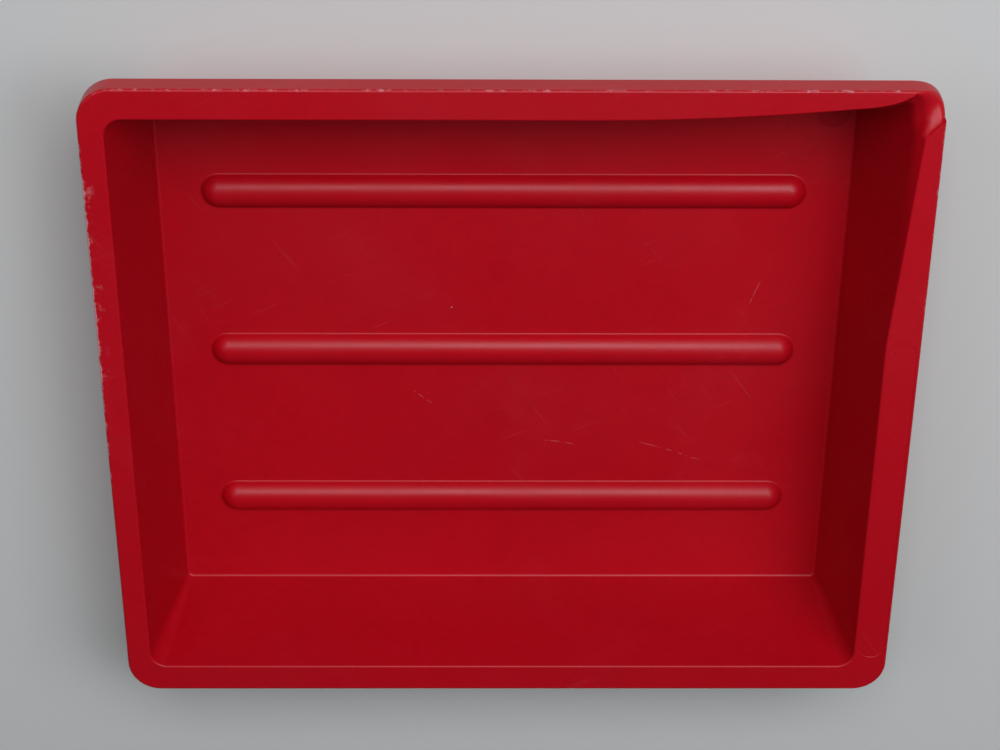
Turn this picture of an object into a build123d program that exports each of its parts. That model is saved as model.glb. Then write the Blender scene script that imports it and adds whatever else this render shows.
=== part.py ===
from build123d import *
import os
from math import cos, radians, sqrt, tan

# A one-piece moulded developing tray: a flat floor with three raised ribs, four sloping walls,
# a flat rim turned down at its outer edge, and a pouring lip at the back right corner.
# Millimetres. +X is the tray's right, +Y its back and +Z up. The origin is on the table,
# under the middle of the outer rim. Each node is one region of the moulding. The regions meet
# face to face.

# Overall
outer_length = 306.0  # along X, over the top of the rim
outer_width = 255.4  # along Y, over the top of the rim
basin_depth = 54.2  # from the top of the rim to the floor

# Material
floor_thickness = 2.2
wall_thickness = 2.0
rim_thickness = 2.2
skirt_thickness = 2.0
rib_thickness = 2.0

# Rim
left_rim_width = 9.3
right_rim_width = 13.3
end_rim_width = 11.4  # along the front and the back
rim_corner_radius = 12.5
opening_corner_radius = 6.5

# Skirt, the turned-down edge of the rim
skirt_drop = 10.6  # from the top of the rim to the skirt's lower edge
skirt_flare = 0.5  # how far the lower edge stands out past the rim, on each side

# Basin
wall_draft = 8.7  # degrees from upright
floor_corner_radius = 2.5

# Ribs: half-round bars, hollow beneath
rib_radius = 7.0
rib_height = 5.0  # above the floor
rib_end_gap = 16.5  # from a rib's tip to the side wall
rib_side_gap = 39.9  # from the middle of the outer ribs to the front or back wall

# Pouring lip
spout_back_run = 80.0  # where the back wall starts to flare, from the corner of the opening
spout_side_run = 86.0  # the same along the right wall
spout_back_flare = 9.0  # how far the back wall's top edge has moved out at the mouth
spout_side_flare = 6.5  # the same for the right wall
spout_throat_run = 7.0  # from the corner of the opening, along the right wall, to its throat
mouth_back_shift = 2.0  # how far past the corner of the opening the back edge runs
lip_depth = 4.5  # how far the lip dips below the rim

top = floor_thickness + basin_depth
rim_underside = top - rim_thickness
skirt_bottom = top - skirt_drop
half_length = outer_length / 2
half_width = outer_width / 2
inset = basin_depth * tan(radians(wall_draft))
wall_across = wall_thickness / cos(radians(wall_draft))

opening_left = left_rim_width - half_length
opening_right = half_length - right_rim_width
opening_front = end_rim_width - half_width
opening_back = half_width - end_rim_width
floor_left = opening_left + inset
floor_right = opening_right - inset
floor_front = opening_front + inset
floor_back = opening_back - inset
floor_middle_x = (floor_left + floor_right) / 2
floor_middle_y = (floor_front + floor_back) / 2


def outline(x_min, x_max, y_min, y_max, radius, z):
    """A rounded rectangle at height z."""
    middle = Pos((x_min + x_max) / 2, (y_min + y_max) / 2, z)
    return middle * RectangleRounded(x_max - x_min, y_max - y_min, radius)


def basin_outline(z, grow):
    """The basin's inner outline at height z, moved out by grow."""
    share = (z - floor_thickness) / basin_depth
    out = inset * share + grow
    radius = floor_corner_radius + (opening_corner_radius - floor_corner_radius) * share + grow
    return outline(
        floor_left - out, floor_right + out, floor_front - out, floor_back + out, radius, z
    )


def rim_outline(z, grow):
    """The rim's outer outline at height z, moved out by grow. It widens towards the bottom."""
    out = skirt_flare * (top - z) / skirt_drop + grow
    return outline(
        -half_length - out,
        half_length + out,
        -half_width - out,
        half_width + out,
        rim_corner_radius + out,
        z,
    )


def spout_outline(z, points, back_bend):
    """The flared corner of the basin at height z, closed by two edges inside the basin.
    back_bend makes the back edge leave the back wall along a tangent arc."""
    back_start, mouth_back, mouth_middle, mouth_side, throat, side_start = points
    if back_bend:
        back_edge = TangentArc(back_start, mouth_back, tangent=(1, 0))
    else:
        back_edge = Line(back_start, mouth_back)
    inner = (back_start[0], side_start[1])
    edges = [
        back_edge,
        ThreePointArc(mouth_back, mouth_middle, mouth_side),
        Line(mouth_side, throat),
        Line(throat, side_start),
        Line(side_start, inner),
        Line(inner, back_start),
    ]
    return Pos(0, 0, z) * make_face(edges)


def spout_solid(low, grow):
    """The flared corner of the basin from height low to the top. grow moves its walls out."""
    slope = sqrt(0.5)
    out = inset * (low - floor_thickness) / basin_depth + grow
    root = floor_corner_radius * (1 - slope)
    foot = (floor_right - root, floor_back - root)
    lip = (
        half_length - rim_corner_radius * (1 - slope),
        half_width - rim_corner_radius * (1 - slope),
    )
    reach = 1 / (1 - lip_depth / basin_depth)
    upper = [
        (opening_right - spout_back_run, opening_back + grow),
        (opening_right + mouth_back_shift, opening_back + spout_back_flare + grow),
        (
            foot[0] + (lip[0] - foot[0]) * reach + grow * slope,
            foot[1] + (lip[1] - foot[1]) * reach + grow * slope,
        ),
        (half_length + grow, half_width - rim_corner_radius),
        (opening_right + spout_side_flare + grow, opening_back - spout_throat_run),
        (opening_right + grow, opening_back - spout_side_run),
    ]
    lower = [
        (opening_right - spout_back_run, floor_back + out),
        (floor_right - floor_corner_radius, floor_back + out),
        (foot[0] + out * slope, foot[1] + out * slope),
        (floor_right + out, floor_back - floor_corner_radius),
        (floor_right + out, opening_back - 2 * spout_throat_run),
        (floor_right + out, opening_back - spout_side_run),
    ]
    return loft([spout_outline(low, lower, False), spout_outline(top, upper, True)], ruled=True)


def slab(low, high):
    """Everything between two heights."""
    size = 2 * (outer_length + outer_width)
    return Pos(0, 0, (low + high) / 2) * Box(size, size, high - low)


def rib_bar(y, radius):
    """A rib's round bar with round ends. Its centre line lies just under the floor."""
    centre_z = floor_thickness + rib_height - rib_radius
    reach = (floor_right - floor_left) / 2 - rib_end_gap - rib_radius
    bar = Rot(0, 90, 0) * Cylinder(radius, 2 * reach)
    ends = Pos(reach, 0, 0) * Sphere(radius) + Pos(-reach, 0, 0) * Sphere(radius)
    return Pos(floor_middle_x, y, centre_z) * (bar + ends)


def prism(points):
    """An upright prism through the whole height, on a plan outline."""
    return extrude(Pos(0, 0, -1) * make_face(Polyline(*points, close=True)), amount=top + 2)


def block(x_min, x_max, y_min, y_max):
    """An upright prism on a plan rectangle."""
    return prism([(x_min, y_min), (x_max, y_min), (x_max, y_max), (x_min, y_max)])


# The whole moulding but its floor and ribs
basin = loft([basin_outline(floor_thickness, 0), basin_outline(top, 0)], ruled=True)
basin_skin = loft([basin_outline(0, wall_across), basin_outline(top, wall_across)], ruled=True)
cavity = basin + spout_solid(floor_thickness, 0)
skin = basin_skin + spout_solid(0, wall_across)
flange = loft([rim_outline(skirt_bottom, 0), rim_outline(top, 0)], ruled=True)
flange_hollow = loft(
    [rim_outline(skirt_bottom, -skirt_thickness), rim_outline(rim_underside, -skirt_thickness)],
    ruled=True,
)
floor_block = extrude(basin_outline(floor_thickness, 0), amount=-floor_thickness)
body = skin & slab(0, skirt_bottom)
moulding = (flange - flange_hollow) + (skin & flange) + body - cavity - floor_block

# The sides are straight between the corners. Their lines run where the floor's corners begin.
edge_x = half_length + skirt_flare
edge_y = half_width + skirt_flare
left_line = floor_left + floor_corner_radius
right_line = floor_right - floor_corner_radius
front_line = floor_front + floor_corner_radius
back_line = floor_back - floor_corner_radius
pouring_line = right_line + back_line  # x + y along the cut that parts off the pouring corner
pouring_corner = prism(
    [(pouring_line - edge_y, edge_y), (edge_x, edge_y), (edge_x, pouring_line - edge_x)]
)
corners = {
    "corner_front_left": block(-edge_x, left_line, -edge_y, front_line),
    "corner_front_right": block(right_line, edge_x, -edge_y, front_line),
    "corner_back_left": block(-edge_x, left_line, back_line, edge_y),
    "pouring_corner": pouring_corner,
}
sides = {
    "front": block(left_line, right_line, -edge_y, front_line),
    "right": block(right_line, edge_x, front_line, edge_y) - pouring_corner,
    "back": block(left_line, edge_x, back_line, edge_y) - pouring_corner,
    "left": block(-edge_x, left_line, front_line, back_line),
}

nodes = {name: moulding & region for name, region in corners.items()}
for name, region in sides.items():
    stretch = moulding & region
    below_rim = stretch & slab(0, rim_underside)
    nodes["rim_" + name] = stretch & slab(rim_underside, top)
    nodes["wall_" + name] = below_rim & skin
    nodes["skirt_" + name] = below_rim - skin

rib_reach = (floor_back - floor_front) / 2 - rib_side_gap
floor_panel = floor_block
for name, shift in (("front", -rib_reach), ("middle", 0), ("back", rib_reach)):
    rib_y = floor_middle_y + shift
    bar = rib_bar(rib_y, rib_radius) & slab(0, top)
    nodes["rib_" + name] = bar - rib_bar(rib_y, rib_radius - rib_thickness)
    floor_panel = floor_panel - bar
nodes["floor_panel"] = floor_panel

os.makedirs("parts", exist_ok=True)
for name, shape in nodes.items():
    print(name, len(shape.solids()), round(shape.volume))
    export_step(shape, f"parts/{name}.step")
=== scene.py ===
"""A red one-piece developing tray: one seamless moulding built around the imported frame."""
import math

import bmesh
import bpy
from mathutils import Matrix, Vector


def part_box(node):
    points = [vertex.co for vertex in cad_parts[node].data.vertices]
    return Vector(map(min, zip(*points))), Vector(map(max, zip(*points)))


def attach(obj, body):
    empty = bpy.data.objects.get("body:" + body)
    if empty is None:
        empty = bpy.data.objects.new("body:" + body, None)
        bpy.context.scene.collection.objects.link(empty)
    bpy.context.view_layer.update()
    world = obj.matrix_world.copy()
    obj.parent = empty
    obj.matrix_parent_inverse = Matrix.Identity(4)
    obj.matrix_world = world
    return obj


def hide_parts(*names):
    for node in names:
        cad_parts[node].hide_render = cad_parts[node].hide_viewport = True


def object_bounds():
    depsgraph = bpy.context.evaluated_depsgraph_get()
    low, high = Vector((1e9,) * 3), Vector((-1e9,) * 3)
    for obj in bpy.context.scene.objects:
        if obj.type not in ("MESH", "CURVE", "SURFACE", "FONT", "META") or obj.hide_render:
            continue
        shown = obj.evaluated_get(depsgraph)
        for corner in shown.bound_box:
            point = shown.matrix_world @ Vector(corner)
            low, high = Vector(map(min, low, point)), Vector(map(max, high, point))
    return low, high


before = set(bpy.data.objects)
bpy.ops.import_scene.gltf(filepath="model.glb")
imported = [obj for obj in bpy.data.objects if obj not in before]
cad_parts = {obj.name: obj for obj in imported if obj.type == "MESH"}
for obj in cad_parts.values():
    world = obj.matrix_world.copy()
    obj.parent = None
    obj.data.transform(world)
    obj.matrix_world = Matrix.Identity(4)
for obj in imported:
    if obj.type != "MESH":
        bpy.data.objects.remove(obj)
cad_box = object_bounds()

MM = 0.001

# ---------------------------------------------------------------- sizes, read off the frame
BOX_LOW, BOX_HIGH = (Vector(corner) for corner in cad_box)
TOP = BOX_HIGH.z
FLOOR_LOW, FLOOR_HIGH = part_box("floor_panel")
FLOOR = FLOOR_HIGH.z
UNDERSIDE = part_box("rim_front")[0].z
SKIRT_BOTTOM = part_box("skirt_front")[0].z

# The opening at the rim's underside, carried on up to the rim's top along the sloping walls.
RISE = (TOP - FLOOR) / (UNDERSIDE - FLOOR)
OPEN_LEFT = FLOOR_LOW.x + (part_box("rim_left")[1].x - FLOOR_LOW.x) * RISE
OPEN_FRONT = FLOOR_LOW.y + (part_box("rim_front")[1].y - FLOOR_LOW.y) * RISE
INSET = FLOOR_LOW.x - OPEN_LEFT
OPEN_RIGHT = FLOOR_HIGH.x + INSET
OPEN_BACK = FLOOR_HIGH.y + INSET

# Sizes that the frame's boxes don't hold, as in the CAD model but for a slightly shallower lip
WALL = 2.0 * MM / math.cos(math.atan(INSET / (TOP - FLOOR)))
SKIRT = 2.0 * MM
RIM = TOP - UNDERSIDE
FLARE = 0.5 * MM
RIM_RADIUS = 12.5 * MM
OPEN_RADIUS = 6.5 * MM
FLOOR_RADIUS = 2.5 * MM
RIB_RADIUS = 7.0 * MM
RIB_SKIN = 2.0 * MM
LIP_DEPTH = 3.9 * MM

# Fillets
FLOOR_FILLET = 1.4 * MM
RIM_INNER_FILLET = 0.9 * MM
RIM_OUTER_FILLET = 1.1 * MM
SKIRT_FILLET = 0.5 * MM
UNDER_FILLET = 0.8 * MM
BASE_FILLET = 2.2 * MM
RIB_FILLET = 0.9 * MM
GROOVE_EASE = 0.4 * MM  # the bevel at the mouth of the grooves under the ribs
BEND_DEPTH = 4.4 * MM  # the walls bend, if they do, this far below the rim
BEND_RUN = 2.4 * MM

# Wear: how far in from the outer edges and down their sides the plastic is knocked, and how
# much of it there is. WEAR_LEFT is places along the left edge and the wear there.
WEAR_WIDTH = 1.65 * MM
WEAR_DROP = 1.3 * WEAR_WIDTH
WEAR_LEFT = [(-60 * MM, 0.25), (50 * MM, 1.0), (85 * MM, 1.0), (110 * MM, 0.45)]
WEAR_BACK = 0.40
WEAR_ELSEWHERE = 0.22

# The sunken panel in the right rim
PANEL_HALF = 5.4 * MM
PANEL_FRONT = -106.5 * MM
PANEL_BACK = 24.0 * MM
PANEL_DEPTH = 0.3 * MM

# Fineness
CORNER_STEPS = 16
SIDE_STEPS = 26
SPOUT_STEPS = 64
SPOUT_CROWDING = 1.7
FILLET_STEPS = 6


# ---------------------------------------------------------------- stations round the tray
def grown(low_x, high_x, low_y, high_y, radius, grow=0.0):
    """A rounded rectangle: its four sides and its corner radius, moved out by grow."""
    return low_x - grow, high_x + grow, low_y - grow, high_y + grow, radius + grow


def floor_outline(grow=0.0):
    return grown(FLOOR_LOW.x, FLOOR_HIGH.x, FLOOR_LOW.y, FLOOR_HIGH.y, FLOOR_RADIUS, grow)


def opening_outline(grow=0.0):
    return grown(OPEN_LEFT, OPEN_RIGHT, OPEN_FRONT, OPEN_BACK, OPEN_RADIUS, grow)


def rim_outline(z, grow=0.0):
    """The outer edge at height z. It widens towards the skirt's lower edge."""
    spread = FLARE * (TOP - z) / (TOP - SKIRT_BOTTOM) - FLARE + grow
    return grown(BOX_LOW.x, BOX_HIGH.x, BOX_LOW.y, BOX_HIGH.y, RIM_RADIUS + FLARE, spread)


def on_outline(station, outline):
    """The plan point of a station on an outline. A station is a kind, "side" or "corner", which
    of the four it is, and how far along it, from 0 to 1."""
    kind, which, share = station
    low_x, high_x, low_y, high_y, radius = outline
    centres = [
        Vector((low_x + radius, low_y + radius)),
        Vector((high_x - radius, low_y + radius)),
        Vector((high_x - radius, high_y - radius)),
        Vector((low_x + radius, high_y - radius)),
    ]
    if kind == "corner":
        angle = math.pi * (1 + which / 2 + share / 2)
        return centres[which] + radius * Vector((math.cos(angle), math.sin(angle)))
    after = (which + 1) % 4
    angle = math.pi * (1.5 + which / 2)
    out = radius * Vector((math.cos(angle), math.sin(angle)))
    return centres[which].lerp(centres[after], share) + out


def make_stations():
    """Corners and sides in turn, counterclockwise from the front left corner. Stations crowd
    towards the pouring corner on the two sides that flare into it."""
    stations = []
    for which in range(4):
        pouring = which == 2
        steps = SPOUT_STEPS if pouring else CORNER_STEPS
        stations += [("corner", which, i / steps) for i in range(steps)]
        if which == 1:
            shares = [1 - (1 - i / SPOUT_STEPS) ** SPOUT_CROWDING for i in range(SPOUT_STEPS)]
        elif pouring:
            shares = [(i / SPOUT_STEPS) ** SPOUT_CROWDING for i in range(SPOUT_STEPS)]
        else:
            shares = [i / SIDE_STEPS for i in range(SIDE_STEPS)]
        stations += [("side", which, share) for share in shares]
    return stations


def smooth(value):
    """Eases from 0 to 1, and holds there."""
    value = min(max(value, 0.0), 1.0)
    return value * value * (3 - 2 * value)


def mix(low, high, share):
    """The value a share of the way from low to high."""
    return low + (high - low) * share


# ---------------------------------------------------------------- the pouring lip
# Its shape depends on how far round the rim's outer edge a station lies from the middle of the
# pouring corner: positive along the back, negative along the right side.
HALF_CORNER = RIM_RADIUS * math.pi / 4
SIDE_RUN = 95.0 * MM  # where the right rim's inner edge starts to swing out, before the middle
SIDE_BEND = -70.0 * MM  # where the right wall starts to bend
STEP = -8.3 * MM  # the step up to the right rim's flat top
DEEPEST = -2.0 * MM  # where the lip dips most
ROUNDEST = 2.0 * MM  # where its edges are rounded most
TIP = 8.6 * MM  # where the back rim's flat top ends
BACK_TURN = 22.0 * MM  # where the back edge turns up towards the tip
BACK_RUN = 120.0 * MM  # where the back rim's inner edge starts to swing out

# How far the inner edges have swung out at their ends, and how far the tip has moved along
SIDE_FLARE = 6.5 * MM
BACK_FLARE = 4.6 * MM
TIP_FLARE = 4.1 * MM
TIP_SHIFT = 5.9 * MM

# How far the wall bends out at the step, at the lip and at the tip
THROAT_BEND = 1.8 * MM
LIP_BEND = 4.0 * MM
TIP_BEND = 2.2 * MM

# The rim's inner and outer edges: how far they lie below its flat top, and their fillets
STEP_DROPS = (0.6 * MM, 2.0 * MM)
DEEPEST_DROPS = (2.6 * MM, LIP_DEPTH)
STEP_FILLETS = (4.4 * MM, 3.4 * MM)
ROUNDEST_FILLETS = (5.6 * MM, 3.8 * MM)
FLAT_FILLETS = (RIM_INNER_FILLET, RIM_OUTER_FILLET)

LIP_BULGE = 1.1 * MM
WALL_CORNER = 0.68  # the share of the pouring corner where its upright corner begins
WALL_CORNER_PLACE = Vector((3.9 * MM, -2.4 * MM))  # from the end of the back wall
WALL_BOW = 0.3 * MM


def bulge_at(station):
    """The pouring corner's outer edge is squarer than the other three corners."""
    kind, which, share = station
    if kind != "corner" or which != 2:
        return Vector((0, 0, 0))
    angle = math.pi / 2 * share
    outward = Vector((math.cos(angle), math.sin(angle), 0))
    return LIP_BULGE * math.sin(math.pi * share) ** 2 * outward


def eased(reach, *stops):
    """The value at a reach, eased between stops. Each stop is a reach and the value there."""
    for (start, low), (end, high) in zip(stops, stops[1:]):
        if reach <= end:
            return mix(low, high, smooth((reach - start) / (end - start)))
    return stops[-1][1]


def reach_of(station):
    """Signed distance round the rim from the middle of the pouring corner."""
    kind, which, share = station
    if kind == "corner" and which == 2:
        return (share - 0.5) * 2 * HALF_CORNER
    straight = on_outline(station, rim_outline(TOP))
    if kind == "side" and which == 1:
        return straight.y - (BOX_HIGH.y - FLARE - RIM_RADIUS) - HALF_CORNER
    if kind == "side" and which == 2:
        return (BOX_HIGH.x - FLARE - RIM_RADIUS) - straight.x + HALF_CORNER
    return None


def curve(start, bend, end, share):
    """A point on the curve from start to end that is drawn towards bend."""
    return start * (1 - share) ** 2 + bend * 2 * share * (1 - share) + end * share * share


def bend_at(reach):
    """How far the wall bends out below the rim's inner edge."""
    if reach < STEP:
        return eased(reach, (SIDE_BEND, 0.0), (STEP, THROAT_BEND))
    if reach < HALF_CORNER:
        rise = eased(reach, (STEP, THROAT_BEND), (DEEPEST, LIP_BEND))
        return mix(rise, TIP_BEND, max(reach - TIP, 0.0) / (HALF_CORNER - TIP))
    return eased(reach, (HALF_CORNER, TIP_BEND), (BACK_TURN, 0.0))


def drops_at(reach):
    """How far the rim's inner and outer edges lie below its flat top."""
    if reach is None or reach < STEP:
        return 0.0, 0.0
    ends = zip(STEP_DROPS, DEEPEST_DROPS)
    return [eased(reach, (STEP, a), (DEEPEST, b), (TIP, 0.0)) for a, b in ends]


def fillets_at(reach):
    """The fillets of the rim's inner and outer edges."""
    if reach is None or reach < STEP:
        return FLAT_FILLETS
    ends = zip(STEP_FILLETS, ROUNDEST_FILLETS, FLAT_FILLETS)
    return [eased(reach, (STEP, a), (ROUNDEST, b), (TIP, c)) for a, b, c in ends]


def back_edge(reach, plain):
    """The back rim's inner edge. It swings out towards the tip."""
    if reach > BACK_TURN:
        share = max(BACK_RUN - reach, 0.0) / (BACK_RUN - BACK_TURN)
        return plain + Vector((0, BACK_FLARE * share ** 2))
    turned = (BACK_TURN - reach) / (BACK_TURN - HALF_CORNER)
    return plain + Vector((TIP_SHIFT * smooth(turned), BACK_FLARE + TIP_FLARE * turned ** 2))


def rim_edge_and_wall(station):
    """Plan points of the rim's inner edge, and of where the wall's line meets the rim's top."""
    plain = on_outline(station, opening_outline())
    reach = reach_of(station)
    if reach is None:
        return plain, plain
    bend = bend_at(reach)
    kind, which, share = station
    if kind == "side" and which == 1:
        along = (reach + SIDE_RUN) / (SIDE_RUN - HALF_CORNER)
        edge = plain + Vector((SIDE_FLARE * max(along, 0.0), 0))
        return edge, edge - Vector((bend, 0))
    if kind == "side":
        edge = back_edge(reach, plain)
        return edge, edge - Vector((0, bend))
    throat = Vector((OPEN_RIGHT + SIDE_FLARE, OPEN_BACK - OPEN_RADIUS))
    start = throat - Vector((THROAT_BEND, 0))
    if reach < STEP:
        return throat, start
    first = on_outline(("side", 2, 0.0), opening_outline())
    end = back_edge(HALF_CORNER, first) - Vector((0, TIP_BEND))
    upright = end + WALL_CORNER_PLACE
    begin = (STEP / HALF_CORNER + 1) / 2
    if share < WALL_CORNER:
        belly = Vector((start.x + WALL_BOW, (start.y + upright.y) / 2))
        wall = curve(start, belly, upright, (share - begin) / (WALL_CORNER - begin))
    else:
        pull = Vector((upright.x - WALL_BOW, end.y))
        wall = curve(upright, pull, end, (share - WALL_CORNER) / (1 - WALL_CORNER))
    outward = (on_outline(station, rim_outline(TOP)) - wall).normalized()
    return wall + outward * bend, wall


# ---------------------------------------------------------------- the moulding's section
def rounded(points, fillets, steps):
    """The path through points with its inner corners rounded, always with as many points. A
    fillet is a radius, or ("run", length) for a soft bend that may be straight."""
    path = [points[0]]
    for before, at, after, fillet in zip(points, points[1:], points[2:], fillets):
        back = (before - at).normalized()
        on = (after - at).normalized()
        shares = [i / steps for i in range(steps + 1)]
        if isinstance(fillet, tuple):
            run = fillet[1]
            path += [curve(at + back * run, at, at + on * run, share) for share in shares]
            continue
        half = back.angle(on) / 2
        room = 0.48 * min((before - at).length, (after - at).length)
        run = min(fillet / math.tan(half), room)
        centre = at + (back + on).normalized() * run / math.cos(half)
        start = at + back * run - centre
        end = at + on * run - centre
        turn = start.angle(end)
        for share in shares:
            mixed = start * math.sin((1 - share) * turn) + end * math.sin(share * turn)
            path.append(centre + mixed / math.sin(turn))
    path.append(points[-1])
    return path


def floor_station(station):
    """The station's place on the floor's outline. The right wall's end fans out from one point."""
    kind, which, share = station
    if kind == "corner" and which == 2:
        return kind, which, max((share - WALL_CORNER) / (1 - WALL_CORNER), 0.0)
    return station


def section(station):
    """The moulding's outline at one station, from the floor over the rim and down to the base."""
    reach = reach_of(station)
    inner_drop, outer_drop = drops_at(reach)
    inner_fillet, outer_fillet = fillets_at(reach)
    inner_top = TOP - inner_drop
    outer_top = TOP - outer_drop
    bend_z = inner_top - BEND_DEPTH

    def on_floor(grow, z):
        plan = on_outline(floor_station(station), floor_outline(grow))
        return plan.to_3d() + Vector((0, 0, z))

    def on_rim(grow, z):
        plan = on_outline(station, rim_outline(z, grow))
        return plan.to_3d() + bulge_at(station) + Vector((0, 0, z))

    edge, wall = rim_edge_and_wall(station)
    foot = on_floor(0.0, FLOOR)
    bend = foot.lerp(wall.to_3d() + Vector((0, 0, TOP)), (bend_z - FLOOR) / (TOP - FLOOR))
    outward = (on_outline(station, rim_outline(TOP)) - edge).normalized().to_3d()
    bent = (edge - wall).length / LIP_BEND
    points = [
        on_floor(-FLOOR_FILLET - 1.0 * MM, FLOOR),
        foot,
        bend,
        edge.to_3d() + Vector((0, 0, inner_top)),
        on_rim(0.0, outer_top),
        on_rim(0.0, SKIRT_BOTTOM),
        on_rim(-SKIRT, SKIRT_BOTTOM),
        on_rim(-SKIRT, outer_top - RIM),
        edge.to_3d() + outward * mix(WALL, 1.0 * MM, bent) + Vector((0, 0, inner_top - RIM)),
        bend + outward * WALL - Vector((0, 0, FLOOR)),
        on_floor(WALL, 0.0),
        on_floor(-1.0 * MM, 0.0),
    ]
    fillets = [
        FLOOR_FILLET,
        ("run", BEND_RUN),
        inner_fillet,
        outer_fillet,
        SKIRT_FILLET,
        SKIRT_FILLET,
        UNDER_FILLET,
        UNDER_FILLET,
        ("run", BEND_RUN),
        BASE_FILLET,
    ]
    return rounded(points, fillets, FILLET_STEPS)


# ---------------------------------------------------------------- mesh helpers
def add_ring(mesh, points):
    """A closed loop of new vertices and its edges."""
    verts = [mesh.verts.new(point) for point in points]
    edges = [mesh.edges.new((a, b)) for a, b in zip(verts, verts[1:] + verts[:1])]
    return verts, edges


def bridge(mesh, inner, outer):
    """Quads between two rings of as many vertices."""
    faces = []
    for i, vert in enumerate(inner):
        after = (i + 1) % len(inner)
        faces.append(mesh.faces.new((vert, outer[i], outer[after], inner[after])))
    return faces


def fill_flat(mesh, edges, up):
    """Fills a flat region, whose holes are among the edges, and turns its faces up or down."""
    made = bmesh.ops.triangle_fill(mesh, use_beauty=True, edges=edges)["geom"]
    for face in [item for item in made if isinstance(item, bmesh.types.BMFace)]:
        face.normal_update()
        if (face.normal.z > 0) != up:
            face.normal_flip()


def capsule(x_low, x_high, y, half, z, steps=20, runs=36):
    """A stadium's outline: two straight runs and two round ends."""
    points = []
    for end, start_x, end_x in ((1, x_low, x_high), (-1, x_high, x_low)):
        for i in range(runs):
            points.append(Vector((mix(start_x, end_x, i / runs), y - end * half, z)))
        for i in range(steps):
            angle = math.pi * (i / steps - 0.5)
            x = end_x + end * half * math.cos(angle)
            points.append(Vector((x, y + end * half * math.sin(angle), z)))
    return points


def circle(x, y, radius, z, steps=40):
    angles = [2 * math.pi * i / steps for i in range(steps)]
    return [Vector((x + radius * math.cos(a), y + radius * math.sin(a), z)) for a in angles]


def rib_section():
    """Half-width and height over the floor of a rib's rings, from its foot to its crest."""
    sink = RIB_RADIUS - (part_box("rib_middle")[1].z - FLOOR)
    foot = math.sqrt((RIB_RADIUS + RIB_FILLET) ** 2 - (sink + RIB_FILLET) ** 2)
    tangent = math.asin((sink + RIB_FILLET) / (RIB_RADIUS + RIB_FILLET))
    rings = []
    for i in range(5):
        angle = mix(-math.pi / 2, -math.pi + tangent, i / 4)
        rings.append((foot + RIB_FILLET * math.cos(angle), RIB_FILLET * (1 + math.sin(angle))))
    for i in range(1, 13):
        angle = mix(tangent, math.pi / 2, i / 12)
        rings.append((RIB_RADIUS * math.cos(angle), RIB_RADIUS * math.sin(angle) - sink))
    return rings


def groove_section():
    """Half-width and height of the groove under a rib, from its mouth to its crown."""
    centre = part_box("rib_middle")[1].z - RIB_RADIUS
    radius = RIB_RADIUS - RIB_SKIN
    rings = [(radius + GROOVE_EASE, 0.0), (radius, GROOVE_EASE)]
    for i in range(1, 11):
        angle = mix(math.asin((GROOVE_EASE - centre) / radius), math.pi / 2, i / 10)
        rings.append((radius * math.cos(angle), centre + radius * math.sin(angle)))
    return rings


def add_rib(mesh, name, rings, base, sign):
    """The rings of a rib on the floor, or of the groove under it, closed along its crest."""
    low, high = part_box(name)
    y = (low.y + high.y) / 2
    x_low, x_high = low.x + RIB_RADIUS, high.x - RIB_RADIUS
    first_edges, before = None, None
    for half, height in rings:
        verts, edges = add_ring(mesh, capsule(x_low, x_high, y, max(half, 1e-6), base + height))
        if before is None:
            first_edges = edges
        elif sign > 0:
            bridge(mesh, verts, before)
        else:
            bridge(mesh, before, verts)
        before = verts
    return first_edges


# ---------------------------------------------------------------- the moulding
DISCS = [  # ejector marks on the floor: x, y, radius, depth
    (122.8 * MM, 100.0 * MM, 6.2 * MM, 0.08 * MM),
    (-2.7 * MM, 33.9 * MM, 5.3 * MM, 0.06 * MM),
    (-4.3 * MM, -33.4 * MM, 5.3 * MM, 0.06 * MM),
    (-4.1 * MM, -97.6 * MM, 5.3 * MM, 0.06 * MM),
]


def build_moulding():
    mesh = bmesh.new()
    stations = make_stations()
    sections = [section(station) for station in stations]
    columns = list(zip(*sections))
    rings = [add_ring(mesh, column)[0] for column in columns]
    for inner, outer in zip(rings, rings[1:]):
        bridge(mesh, inner, outer)

    def ring_edges(ring):
        return [mesh.edges.get((a, b)) for a, b in zip(ring, ring[1:] + ring[:1])]

    ribs = ("rib_front", "rib_middle", "rib_back")
    floor_edges = ring_edges(rings[0])
    base_edges = ring_edges(rings[-1])
    for name in ribs:
        floor_edges += add_rib(mesh, name, rib_section(), FLOOR, 1)
        base_edges += add_rib(mesh, name, groove_section(), 0.0, -1)
    for x, y, radius, depth in DISCS:
        rim, rim_edges = add_ring(mesh, circle(x, y, radius, FLOOR))
        bed, bed_edges = add_ring(mesh, circle(x, y, radius - depth - 0.1 * MM, FLOOR - depth))
        bridge(mesh, bed, rim)
        fill_flat(mesh, bed_edges, True)
        floor_edges += rim_edges
    fill_flat(mesh, floor_edges, True)
    fill_flat(mesh, base_edges, False)
    bmesh.ops.remove_doubles(mesh, verts=mesh.verts, dist=0.005 * MM)
    bmesh.ops.recalc_face_normals(mesh, faces=mesh.faces)
    open_edges = sum(1 for edge in mesh.edges if not edge.is_manifold)
    print(f"moulding: {len(mesh.verts)} vertices, {len(mesh.faces)} faces, {open_edges} open edges")
    return linked_object("tray_moulding", mesh)


def linked_object(name, mesh):
    """Turns a bmesh into an object in the scene."""
    data = bpy.data.meshes.new(name)
    mesh.to_mesh(data)
    mesh.free()
    piece = bpy.data.objects.new(name, data)
    bpy.context.scene.collection.objects.link(piece)
    return piece


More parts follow.
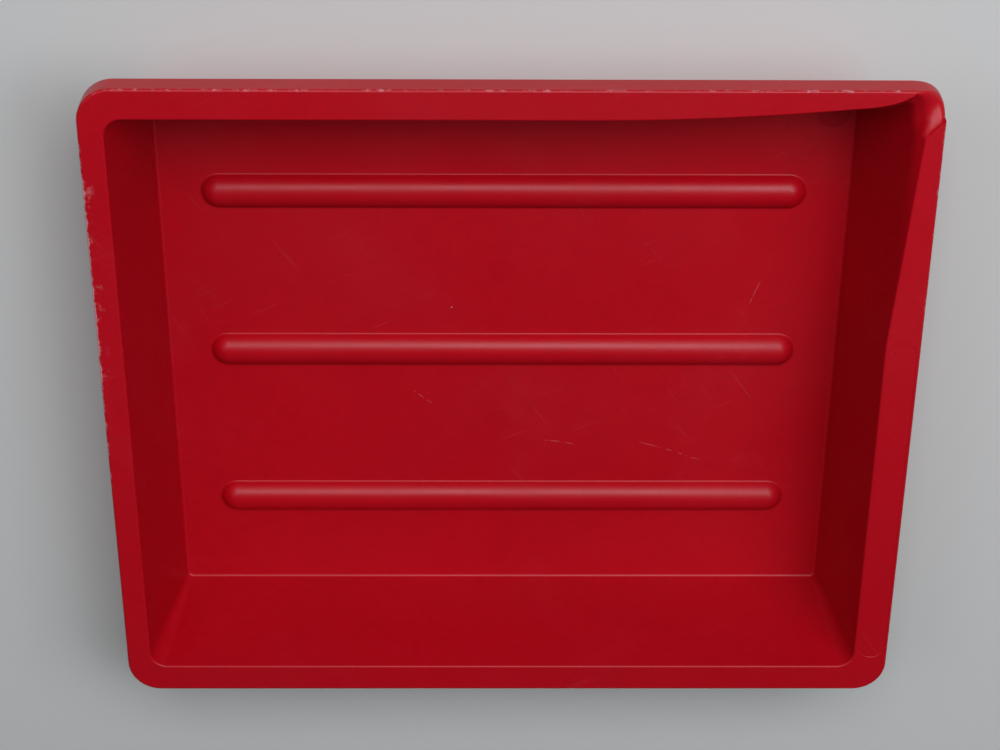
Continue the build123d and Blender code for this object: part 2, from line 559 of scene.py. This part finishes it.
def label_cutter():
    """The space over the plain sunken panel in the right rim. Its sides slope a little."""
    mesh = bmesh.new()
    x = (OPEN_RIGHT + BOX_HIGH.x - FLARE) / 2
    levels = [
        (PANEL_HALF - 0.15 * MM, TOP - PANEL_DEPTH),
        (PANEL_HALF, TOP - PANEL_DEPTH / 2),
        (PANEL_HALF + 0.25 * MM, TOP + PANEL_DEPTH),
    ]
    rings = []
    for half, z in levels:
        points = capsule(PANEL_FRONT, PANEL_BACK, -x, half, z)
        rings.append(add_ring(mesh, [Vector((-p.y, p.x, p.z)) for p in points])[0])
    for low, high in zip(rings, rings[1:]):
        bridge(mesh, high, low)
    mesh.faces.new(rings[0])
    mesh.faces.new(rings[-1])
    bmesh.ops.recalc_face_normals(mesh, faces=mesh.faces)
    return linked_object("label_cutter", mesh)


def paint_wear(data):
    """Stores how knocked each point of the outer edges is, from 0 to 1."""
    wear = data.attributes.new("wear", "FLOAT", "POINT")
    left_edge = -BOX_HIGH.x + 2 * WEAR_WIDTH + RIM_RADIUS / 2
    for i, vert in enumerate(data.vertices):
        x, y, z = vert.co
        out_x = abs(x) - (BOX_HIGH.x - FLARE)
        out_y = abs(y) - (BOX_HIGH.y - FLARE)
        corner = math.hypot(max(out_x + RIM_RADIUS, 0), max(out_y + RIM_RADIUS, 0)) - RIM_RADIUS
        inside = max(out_x, out_y)
        if out_x > -RIM_RADIUS and out_y > -RIM_RADIUS:
            inside = corner
        edge = smooth(1 + inside / WEAR_WIDTH) * smooth(1.1 - (TOP - z) / WEAR_DROP)
        if x < left_edge:
            share = eased(y, *WEAR_LEFT)
        elif y > 0:
            share = WEAR_BACK
        else:
            share = WEAR_ELSEWHERE
        wear.data[i].value = edge * share


def finish_moulding(tray):
    """Cuts the label panel into the rim and smooths the shading."""
    cutter = label_cutter()
    cut = tray.modifiers.new("label panel", "BOOLEAN")
    cut.object = cutter
    cut.operation = "DIFFERENCE"
    cut.solver = "EXACT"
    bpy.context.view_layer.update()
    made = tray.evaluated_get(bpy.context.evaluated_depsgraph_get())
    data = bpy.data.meshes.new_from_object(made)
    tray.modifiers.clear()
    tray.data = data
    bpy.data.objects.remove(cutter)
    data.shade_smooth()
    data.set_sharp_from_angle(angle=math.radians(38))
    paint_wear(data)
    weighted = tray.modifiers.new("flats stay flat", "WEIGHTED_NORMAL")
    weighted.weight = 80
    print(f"finished: {len(data.vertices)} vertices, {len(data.polygons)} faces")


# ---------------------------------------------------------------- material
class Nodes:
    """Short calls for wiring a material's nodes. Values are numbers, colours or sockets."""

    def __init__(self, material):
        self.tree = material.node_tree
        self.place = self.add("ShaderNodeTexCoord").outputs["Object"]

    def add(self, kind, inputs=(), **settings):
        node = self.tree.nodes.new(kind)
        for name, value in settings.items():
            setattr(node, name, value)
        for name, value in dict(inputs).items():
            self.plug(value, node.inputs[name])
        return node

    def plug(self, value, socket):
        if isinstance(value, bpy.types.NodeSocket):
            self.tree.links.new(value, socket)
        else:
            socket.default_value = value

    def math(self, operation, first, second=0.0, clamp=False):
        inputs = {0: first, 1: second}
        node = self.add("ShaderNodeMath", inputs, operation=operation, use_clamp=clamp)
        return node.outputs[0]

    def vector(self, operation, first, second=(0.0, 0.0, 0.0)):
        node = self.add("ShaderNodeVectorMath", {0: first, 1: second}, operation=operation)
        is_number = operation in ("DOT_PRODUCT", "DISTANCE")
        return node.outputs["Value" if is_number else "Vector"]

    def ramp(self, value, low, high, to_low=0.0, to_high=1.0):
        """Eases from to_low at low to to_high at high."""
        inputs = {"Value": value, "From Min": low, "From Max": high}
        inputs.update({"To Min": to_low, "To Max": to_high})
        node = self.add("ShaderNodeMapRange", inputs, interpolation_type="SMOOTHSTEP")
        return node.outputs["Result"]

    def noise(self, size, detail=3.0, stretch=(1.0, 1.0, 1.0), turn=0.0, roughness=0.5):
        """Noise with features of about size, in metres, stretched along its turned axes."""
        inputs = {"Vector": self.place, "Rotation": (0.0, 0.0, turn), "Scale": stretch}
        moved = self.add("ShaderNodeMapping", inputs, vector_type="TEXTURE").outputs["Vector"]
        inputs = {"Vector": moved, "Scale": 0.5 / size, "Detail": detail, "Roughness": roughness}
        return self.add("ShaderNodeTexNoise", inputs).outputs["Fac"]

    def mix(self, share, first, second):
        node = self.add("ShaderNodeMix", data_type="RGBA")
        for value, socket in ((share, 0), (first, 6), (second, 7)):
            self.plug(value, node.inputs[socket])
        return node.outputs[2]

    def disc(self, x, y, radius, soft):
        """1 inside an upright cylinder, 0 outside."""
        flat = self.vector("MULTIPLY", self.place, (1.0, 1.0, 0.0))
        away = self.vector("DISTANCE", flat, (x, y, 0.0))
        return self.ramp(away, radius - soft, radius + soft, 1.0, 0.0)

    def stroke(self, start, end, width):
        """1 on a fine line between two plan points, 0 off it."""
        run = Vector((*end, 0.0)) - Vector((*start, 0.0))
        flat = self.vector("MULTIPLY", self.place, (1.0, 1.0, 0.0))
        offset = self.vector("SUBTRACT", flat, (*start, 0.0))
        product = self.vector("DOT_PRODUCT", offset, tuple(run))
        along = self.math("DIVIDE", product, run.length_squared, clamp=True)
        foot = self.add("ShaderNodeVectorMath", {0: tuple(run)}, operation="SCALE")
        self.plug(along, foot.inputs["Scale"])
        away = self.vector("DISTANCE", offset, foot.outputs["Vector"])
        return self.ramp(away, width * 0.3, width, 1.0, 0.0)

    def total(self, values):
        result = values[0]
        for value in values[1:]:
            result = self.math("MAXIMUM", result, value)
        return result


SCRATCHES = [  # on the floor: plan points that a fine scratch passes, in millimetres
    [(54.6, -42.7), (67.1, -46.5), (79.7, -51.2)],
    [(15.4, -41.8), (21.5, -42.4), (27.8, -43.7)],
    [(-38.0, -19.0), (-31.0, -24.5)],
    [(96.0, 21.0), (99.5, 30.0)],
]
RED = (0.50, 0.0016, 0.0085, 1.0)
DEEP_RED = (0.40, 0.0010, 0.0060, 1.0)
DUSTY_RED = (0.56, 0.020, 0.035, 1.0)
SCUFF = (0.72, 0.36, 0.38, 1.0)


def red_plastic():
    """Moulded polystyrene: satin, faintly mottled, finely scratched, whitened along worn edges."""
    material = bpy.data.materials.new("red_plastic")
    material.use_nodes = True
    kit = Nodes(material)
    shader = material.node_tree.nodes["Principled BSDF"]

    # Colour: broad clouds, fine mottling and a film of dust in places
    clouds = kit.ramp(kit.noise(0.055, detail=2.0), 0.35, 0.68)
    mottle = kit.ramp(kit.noise(0.0022, detail=3.0), 0.38, 0.66)
    dust = kit.ramp(kit.noise(0.028, detail=5.0, roughness=0.62), 0.50, 0.74)
    colour = kit.mix(kit.math("MULTIPLY", clouds, 0.30), RED, DEEP_RED)
    colour = kit.mix(kit.math("MULTIPLY", mottle, 0.22), colour, DEEP_RED)
    colour = kit.mix(kit.math("MULTIPLY", dust, 0.12), colour, DUSTY_RED)

    # The ejector marks are smoother and deeper in colour than the floor round them
    discs = kit.total([kit.disc(x, y, radius, 0.5 * MM) for x, y, radius, depth in DISCS[:1]])
    faint = kit.total([kit.disc(x, y, radius, 0.6 * MM) for x, y, radius, depth in DISCS[1:]])
    marks = kit.math("MAXIMUM", discs, kit.math("MULTIPLY", faint, 0.28))
    colour = kit.mix(kit.math("MULTIPLY", marks, 0.75), colour, DEEP_RED)

    # Fine scratches: hairlines all over in two directions, and a few longer ones on the floor
    hairs = []
    for turn, size in ((0.42, 0.00026), (-0.95, 0.00030)):
        strands = kit.noise(size, detail=1.0, stretch=(55.0, 1.0, 1.0), turn=turn)
        patches = kit.ramp(kit.noise(0.02 + 30 * size, detail=2.0), 0.48, 0.62)
        hairs.append(kit.math("MULTIPLY", kit.ramp(strands, 0.70, 0.82), patches))
    hair = kit.total(hairs)
    strokes = []
    for path in SCRATCHES:
        for start, end in zip(path, path[1:]):
            ends = [(x * MM, y * MM) for x, y in (start, end)]
            strokes.append(kit.stroke(*ends, 0.24 * MM))
    broken = kit.ramp(kit.noise(0.0016, detail=2.0), 0.36, 0.56)
    scratch = kit.math("MULTIPLY", kit.total(strokes), broken)
    faint_hair = kit.math("MULTIPLY", hair, 0.13)
    lines = kit.math("MAXIMUM", faint_hair, kit.math("MULTIPLY", scratch, 0.42))
    colour = kit.mix(kit.math("MULTIPLY", lines, 0.40), colour, SCUFF)

    # Specks of lint and old splashes
    spots = kit.add("ShaderNodeTexVoronoi", {"Vector": kit.place, "Scale": 62.0, "Randomness": 1.0})
    near = kit.ramp(spots.outputs["Distance"], 0.012, 0.032, 1.0, 0.0)
    chosen = kit.ramp(kit.noise(0.012, detail=0.0), 0.60, 0.66)
    specks = kit.math("MULTIPLY", near, chosen)
    colour = kit.mix(kit.math("MULTIPLY", specks, 0.40), colour, SCUFF)

    # Whitening where the edges have been knocked
    wear = kit.add("ShaderNodeAttribute", attribute_name="wear").outputs["Fac"]
    chips = kit.noise(0.0016, detail=5.0, roughness=0.65)
    worn = kit.math("ADD", kit.math("MULTIPLY", wear, 0.42), chips)
    scuffs = kit.math("MULTIPLY", kit.ramp(worn, 0.64, 0.88), kit.ramp(wear, 0.10, 0.50))
    colour = kit.mix(kit.math("MULTIPLY", scuffs, 0.75), colour, SCUFF)
    kit.plug(colour, shader.inputs["Base Color"])

    # Gloss
    cloudy = kit.ramp(kit.noise(0.035, detail=4.0), 0.30, 0.72, 0.34, 0.44)
    rough = kit.math("SUBTRACT", cloudy, kit.math("MULTIPLY", marks, 0.07))
    rough = kit.math("ADD", rough, kit.math("MULTIPLY", lines, 0.14))
    rough = kit.math("ADD", rough, kit.math("MULTIPLY", scuffs, 0.25), True)
    kit.plug(rough, shader.inputs["Roughness"])
    shader.inputs["IOR"].default_value = 1.49
    shader.inputs["Specular IOR Level"].default_value = 0.30

    # Surface: the mould's fine grain, slow waves in the flats, and the scratches
    grain = kit.math("MULTIPLY", kit.noise(0.00055, detail=2.0), 0.030 * MM)
    waves = kit.math("MULTIPLY", kit.noise(0.040, detail=1.0), 0.55 * MM)
    cuts = kit.math("MULTIPLY", kit.math("MAXIMUM", lines, scuffs), -0.035 * MM)
    height = kit.math("ADD", kit.math("ADD", grain, waves), cuts)
    bump = kit.add("ShaderNodeBump", {"Height": height, "Strength": 1.0, "Distance": 1.0})
    kit.plug(bump.outputs["Normal"], shader.inputs["Normal"])
    return material


tray = build_moulding()
finish_moulding(tray)
tray.data.materials.append(red_plastic())
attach(tray, "root")
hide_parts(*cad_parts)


# ---------------------------------------------------------------- floor, lights and camera
def add_floor():
    size = 6.0
    bpy.ops.mesh.primitive_plane_add(size=size, location=(0, 0, 0))
    floor = bpy.context.object
    floor.name = "studio_floor"
    paper = bpy.data.materials.new("studio_floor")
    paper.use_nodes = True
    shader = paper.node_tree.nodes["Principled BSDF"]
    shader.inputs["Base Color"].default_value = (0.62, 0.585, 0.535, 1)
    shader.inputs["Roughness"].default_value = 0.9
    floor.data.materials.append(paper)


def add_light(name, place, size, power):
    """A soft rectangular light that faces the tray."""
    data = bpy.data.lights.new(name, "AREA")
    data.shape = "RECTANGLE"
    data.size, data.size_y = size
    data.energy = power
    data.color = (0.82, 0.90, 1.0)
    light = bpy.data.objects.new(name, data)
    light.location = place
    light.rotation_euler = (-Vector(place)).to_track_quat("-Z", "Y").to_euler()
    bpy.context.scene.collection.objects.link(light)


def add_world():
    world = bpy.data.worlds.new("studio")
    world.use_nodes = True
    background = world.node_tree.nodes["Background"]
    background.inputs["Color"].default_value = (0.9, 0.95, 1.0, 1)
    background.inputs["Strength"].default_value = 0.06
    bpy.context.scene.world = world


def add_camera():
    """Looks down at the tray from past its back edge, about 27 degrees off the vertical."""
    data = bpy.data.cameras.new("camera")
    data.sensor_width = 36.0
    data.lens = 72.0
    camera = bpy.data.objects.new("camera", data)
    right = Vector((1.0, 0.005, 0.0072))
    back = Vector((-0.0087, 0.4576, 0.8891))
    up = back.cross(right).normalized()
    right = up.cross(back).normalized()
    turn = Matrix((right, up, back)).transposed().to_4x4()
    place = Vector((-10.2 * MM, 358.3 * MM, 664.8 * MM + TOP))
    camera.matrix_world = Matrix.Translation(place) @ turn
    bpy.context.scene.collection.objects.link(camera)
    bpy.context.scene.camera = camera


add_floor()
add_world()
add_light("back", (0.30, 1.70, 1.10), (2.0, 1.0), 4.6)
add_light("over_back", (0.15, 1.08, 1.55), (1.2, 0.8), 20.4)
add_light("right_near", (0.55, 0.40, 0.95), (0.5, 0.5), 3.6)
add_light("right", (1.00, 0.35, 1.30), (0.8, 0.8), 1.5)
add_light("left", (-0.90, 0.60, 1.30), (0.8, 0.8), 3.4)
add_camera()
bpy.context.scene.view_settings.view_transform = "Standard"
